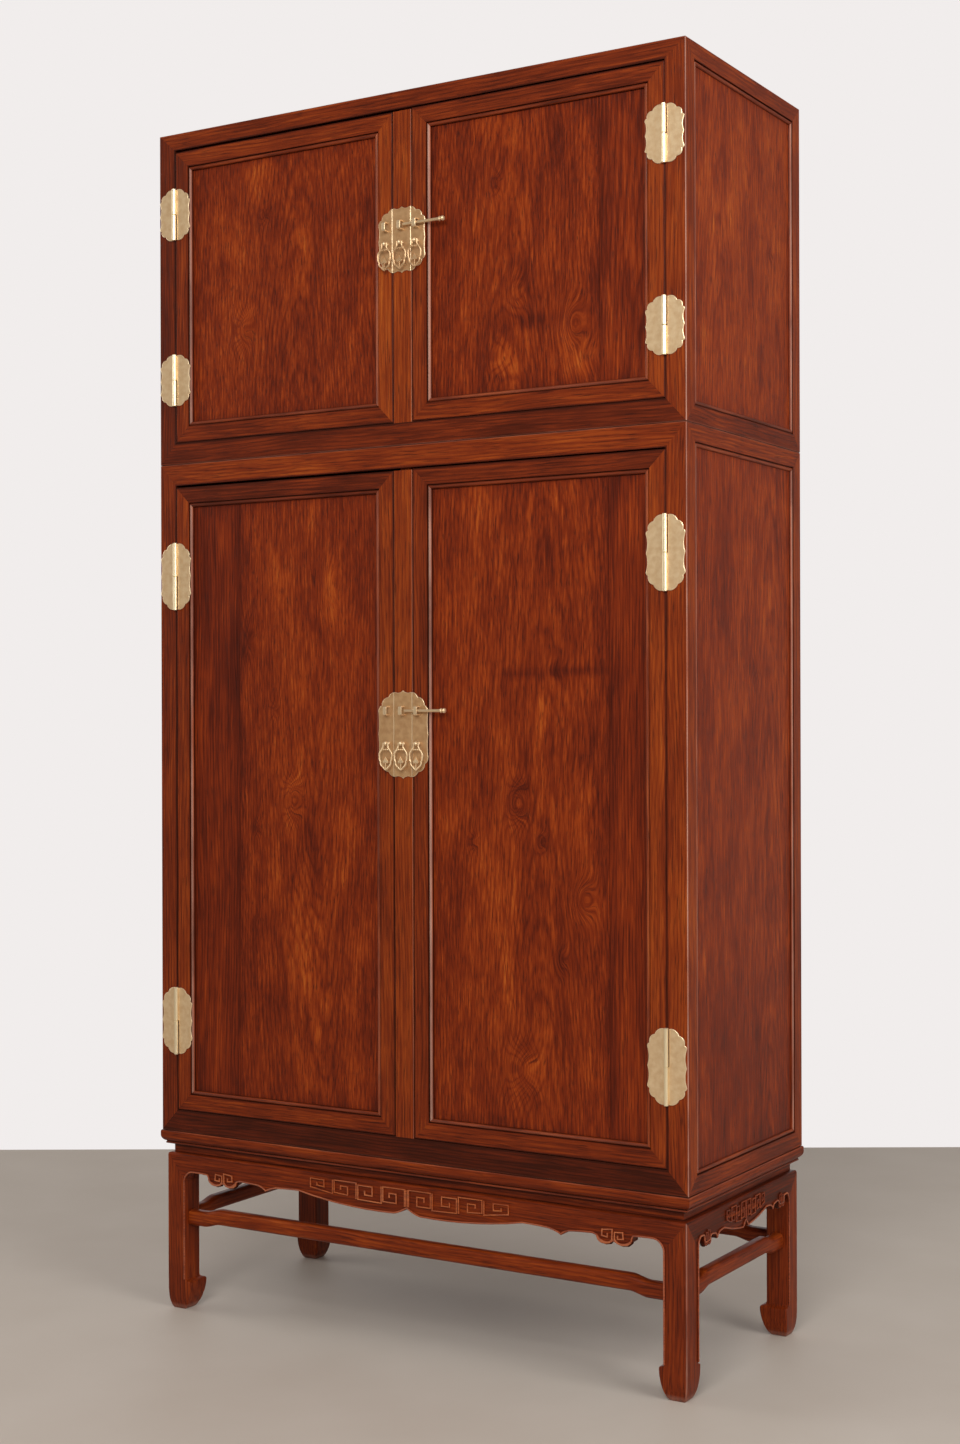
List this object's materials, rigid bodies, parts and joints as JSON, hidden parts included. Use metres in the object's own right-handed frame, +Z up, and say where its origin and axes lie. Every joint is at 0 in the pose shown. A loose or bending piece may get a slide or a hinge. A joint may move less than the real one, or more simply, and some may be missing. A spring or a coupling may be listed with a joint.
{
  "type": "compound wardrobe",
  "caption": "Hardwood compound wardrobe: a hoof-footed stand with scalloped aprons carries a tall cabinet and a short upper cabinet, both with framed hinged doors and brass pin locks.",
  "frame": {"origin": "on the floor, under the middle of the object's box", "axes": "+X to the viewer's right, the doors face -Y, +Z up"},
  "size_m": [1.195, 0.531, 2.4],
  "materials": {
    "frame_wood": "waxed and polished",
    "panel_wood": "waxed and polished",
    "brass": "aged satin"
  },
  "bodies": {
    "lower_cabinet": {"stand_top_frame": "frame_wood", "leg_front_left": "frame_wood", "leg_front_right": "frame_wood", "leg_back_left": "frame_wood", "leg_back_right": "frame_wood", "apron_front": "frame_wood", "apron_back": "frame_wood", "apron_left": "frame_wood", "apron_right": "frame_wood", "stretcher_front": "frame_wood", "stretcher_back": "frame_wood", "stretcher_left": "frame_wood", "stretcher_right": "frame_wood", "lower_frame": "frame_wood", "lower_side_panel_left": "panel_wood", "lower_side_panel_right": "panel_wood", "lower_shelf": "panel_wood", "lower_hinge_left_top_post_leaf": "brass", "lower_hinge_left_bottom_post_leaf": "brass", "lower_hinge_right_top_post_leaf": "brass", "lower_hinge_right_bottom_post_leaf": "brass"},
    "upper_cabinet": {"upper_frame": "frame_wood", "upper_side_panel_left": "panel_wood", "upper_side_panel_right": "panel_wood", "upper_hinge_left_top_post_leaf": "brass", "upper_hinge_left_bottom_post_leaf": "brass", "upper_hinge_right_top_post_leaf": "brass", "upper_hinge_right_bottom_post_leaf": "brass"},
    "lower_door_left": {"lower_door_left_frame": "frame_wood", "lower_door_left_panel": "panel_wood", "lower_hinge_left_top_door_leaf": "brass", "lower_hinge_left_bottom_door_leaf": "brass", "lower_lock_plate_left": "brass"},
    "lower_door_right": {"lower_door_right_frame": "frame_wood", "lower_door_right_panel": "panel_wood", "lower_hinge_right_top_door_leaf": "brass", "lower_hinge_right_bottom_door_leaf": "brass", "lower_lock_plate_right": "brass"},
    "upper_door_left": {"upper_door_left_frame": "frame_wood", "upper_door_left_panel": "panel_wood", "upper_hinge_left_top_door_leaf": "brass", "upper_hinge_left_bottom_door_leaf": "brass", "upper_lock_plate_left": "brass"},
    "upper_door_right": {"upper_door_right_frame": "frame_wood", "upper_door_right_panel": "panel_wood", "upper_hinge_right_top_door_leaf": "brass", "upper_hinge_right_bottom_door_leaf": "brass", "upper_lock_plate_right": "brass"},
    "lower_stile": {"lower_centre_stile": "frame_wood", "lower_lock_plate_centre": "brass"},
    "upper_stile": {"upper_centre_stile": "frame_wood", "upper_lock_plate_centre": "brass"},
    "lower_pull_left": {"lower_pull_left": "brass"},
    "lower_pull_centre": {"lower_pull_centre": "brass"},
    "lower_pull_right": {"lower_pull_right": "brass"},
    "upper_pull_left": {"upper_pull_left": "brass"},
    "upper_pull_centre": {"upper_pull_centre": "brass"},
    "upper_pull_right": {"upper_pull_right": "brass"},
    "lower_lock_pin": {"lower_lock_pin": "brass"},
    "upper_lock_pin": {"upper_lock_pin": "brass"}
  },
  "joints": [
    {"name": "upper_cabinet_lift", "type": "slide", "parent": "lower_cabinet", "child": "upper_cabinet", "axis": [0, 0, 1], "range_m": [0, 0.08]},
    {"name": "lower_door_left_swing", "type": "hinge", "parent": "lower_cabinet", "child": "lower_door_left", "pos_m": [-0.554, -0.25565, 0.41], "axis": [0, 0, -1], "range_deg": [0, 170]},
    {"name": "lower_door_right_swing", "type": "hinge", "parent": "lower_cabinet", "child": "lower_door_right", "pos_m": [0.554, -0.25565, 0.41], "axis": [0, 0, 1], "range_deg": [0, 170]},
    {"name": "upper_door_left_swing", "type": "hinge", "parent": "upper_cabinet", "child": "upper_door_left", "pos_m": [-0.554, -0.25565, 1.769], "axis": [0, 0, -1], "range_deg": [0, 170]},
    {"name": "upper_door_right_swing", "type": "hinge", "parent": "upper_cabinet", "child": "upper_door_right", "pos_m": [0.554, -0.25565, 1.769], "axis": [0, 0, 1], "range_deg": [0, 170]},
    {"name": "lower_stile_lift", "type": "slide", "parent": "lower_cabinet", "child": "lower_stile", "axis": [0, 0, 1], "range_m": [0, 0.004]},
    {"name": "upper_stile_lift", "type": "slide", "parent": "upper_cabinet", "child": "upper_stile", "axis": [0, 0, 1], "range_m": [0, 0.004]},
    {"name": "lower_pull_left_swing", "type": "hinge", "parent": "lower_door_left", "child": "lower_pull_left", "pos_m": [-0.0345, -0.26095, 1.159], "axis": [-1, 0, 0], "range_deg": [0, 90]},
    {"name": "lower_pull_centre_swing", "type": "hinge", "parent": "lower_stile", "child": "lower_pull_centre", "pos_m": [0, -0.26095, 1.159], "axis": [-1, 0, 0], "range_deg": [0, 90]},
    {"name": "lower_pull_right_swing", "type": "hinge", "parent": "lower_door_right", "child": "lower_pull_right", "pos_m": [0.0345, -0.26095, 1.159], "axis": [-1, 0, 0], "range_deg": [0, 90]},
    {"name": "upper_pull_left_swing", "type": "hinge", "parent": "upper_door_left", "child": "upper_pull_left", "pos_m": [-0.0345, -0.26095, 2.11], "axis": [-1, 0, 0], "range_deg": [0, 90]},
    {"name": "upper_pull_centre_swing", "type": "hinge", "parent": "upper_stile", "child": "upper_pull_centre", "pos_m": [0, -0.26095, 2.11], "axis": [-1, 0, 0], "range_deg": [0, 90]},
    {"name": "upper_pull_right_swing", "type": "hinge", "parent": "upper_door_right", "child": "upper_pull_right", "pos_m": [0.0345, -0.26095, 2.11], "axis": [-1, 0, 0], "range_deg": [0, 90]},
    {"name": "lower_lock_pin_slide", "type": "slide", "parent": "lower_door_right", "child": "lower_lock_pin", "axis": [1, 0, 0], "range_m": [-0.0475, 0]},
    {"name": "upper_lock_pin_slide", "type": "slide", "parent": "upper_door_right", "child": "upper_lock_pin", "axis": [1, 0, 0], "range_m": [-0.0475, 0]}
  ]
}
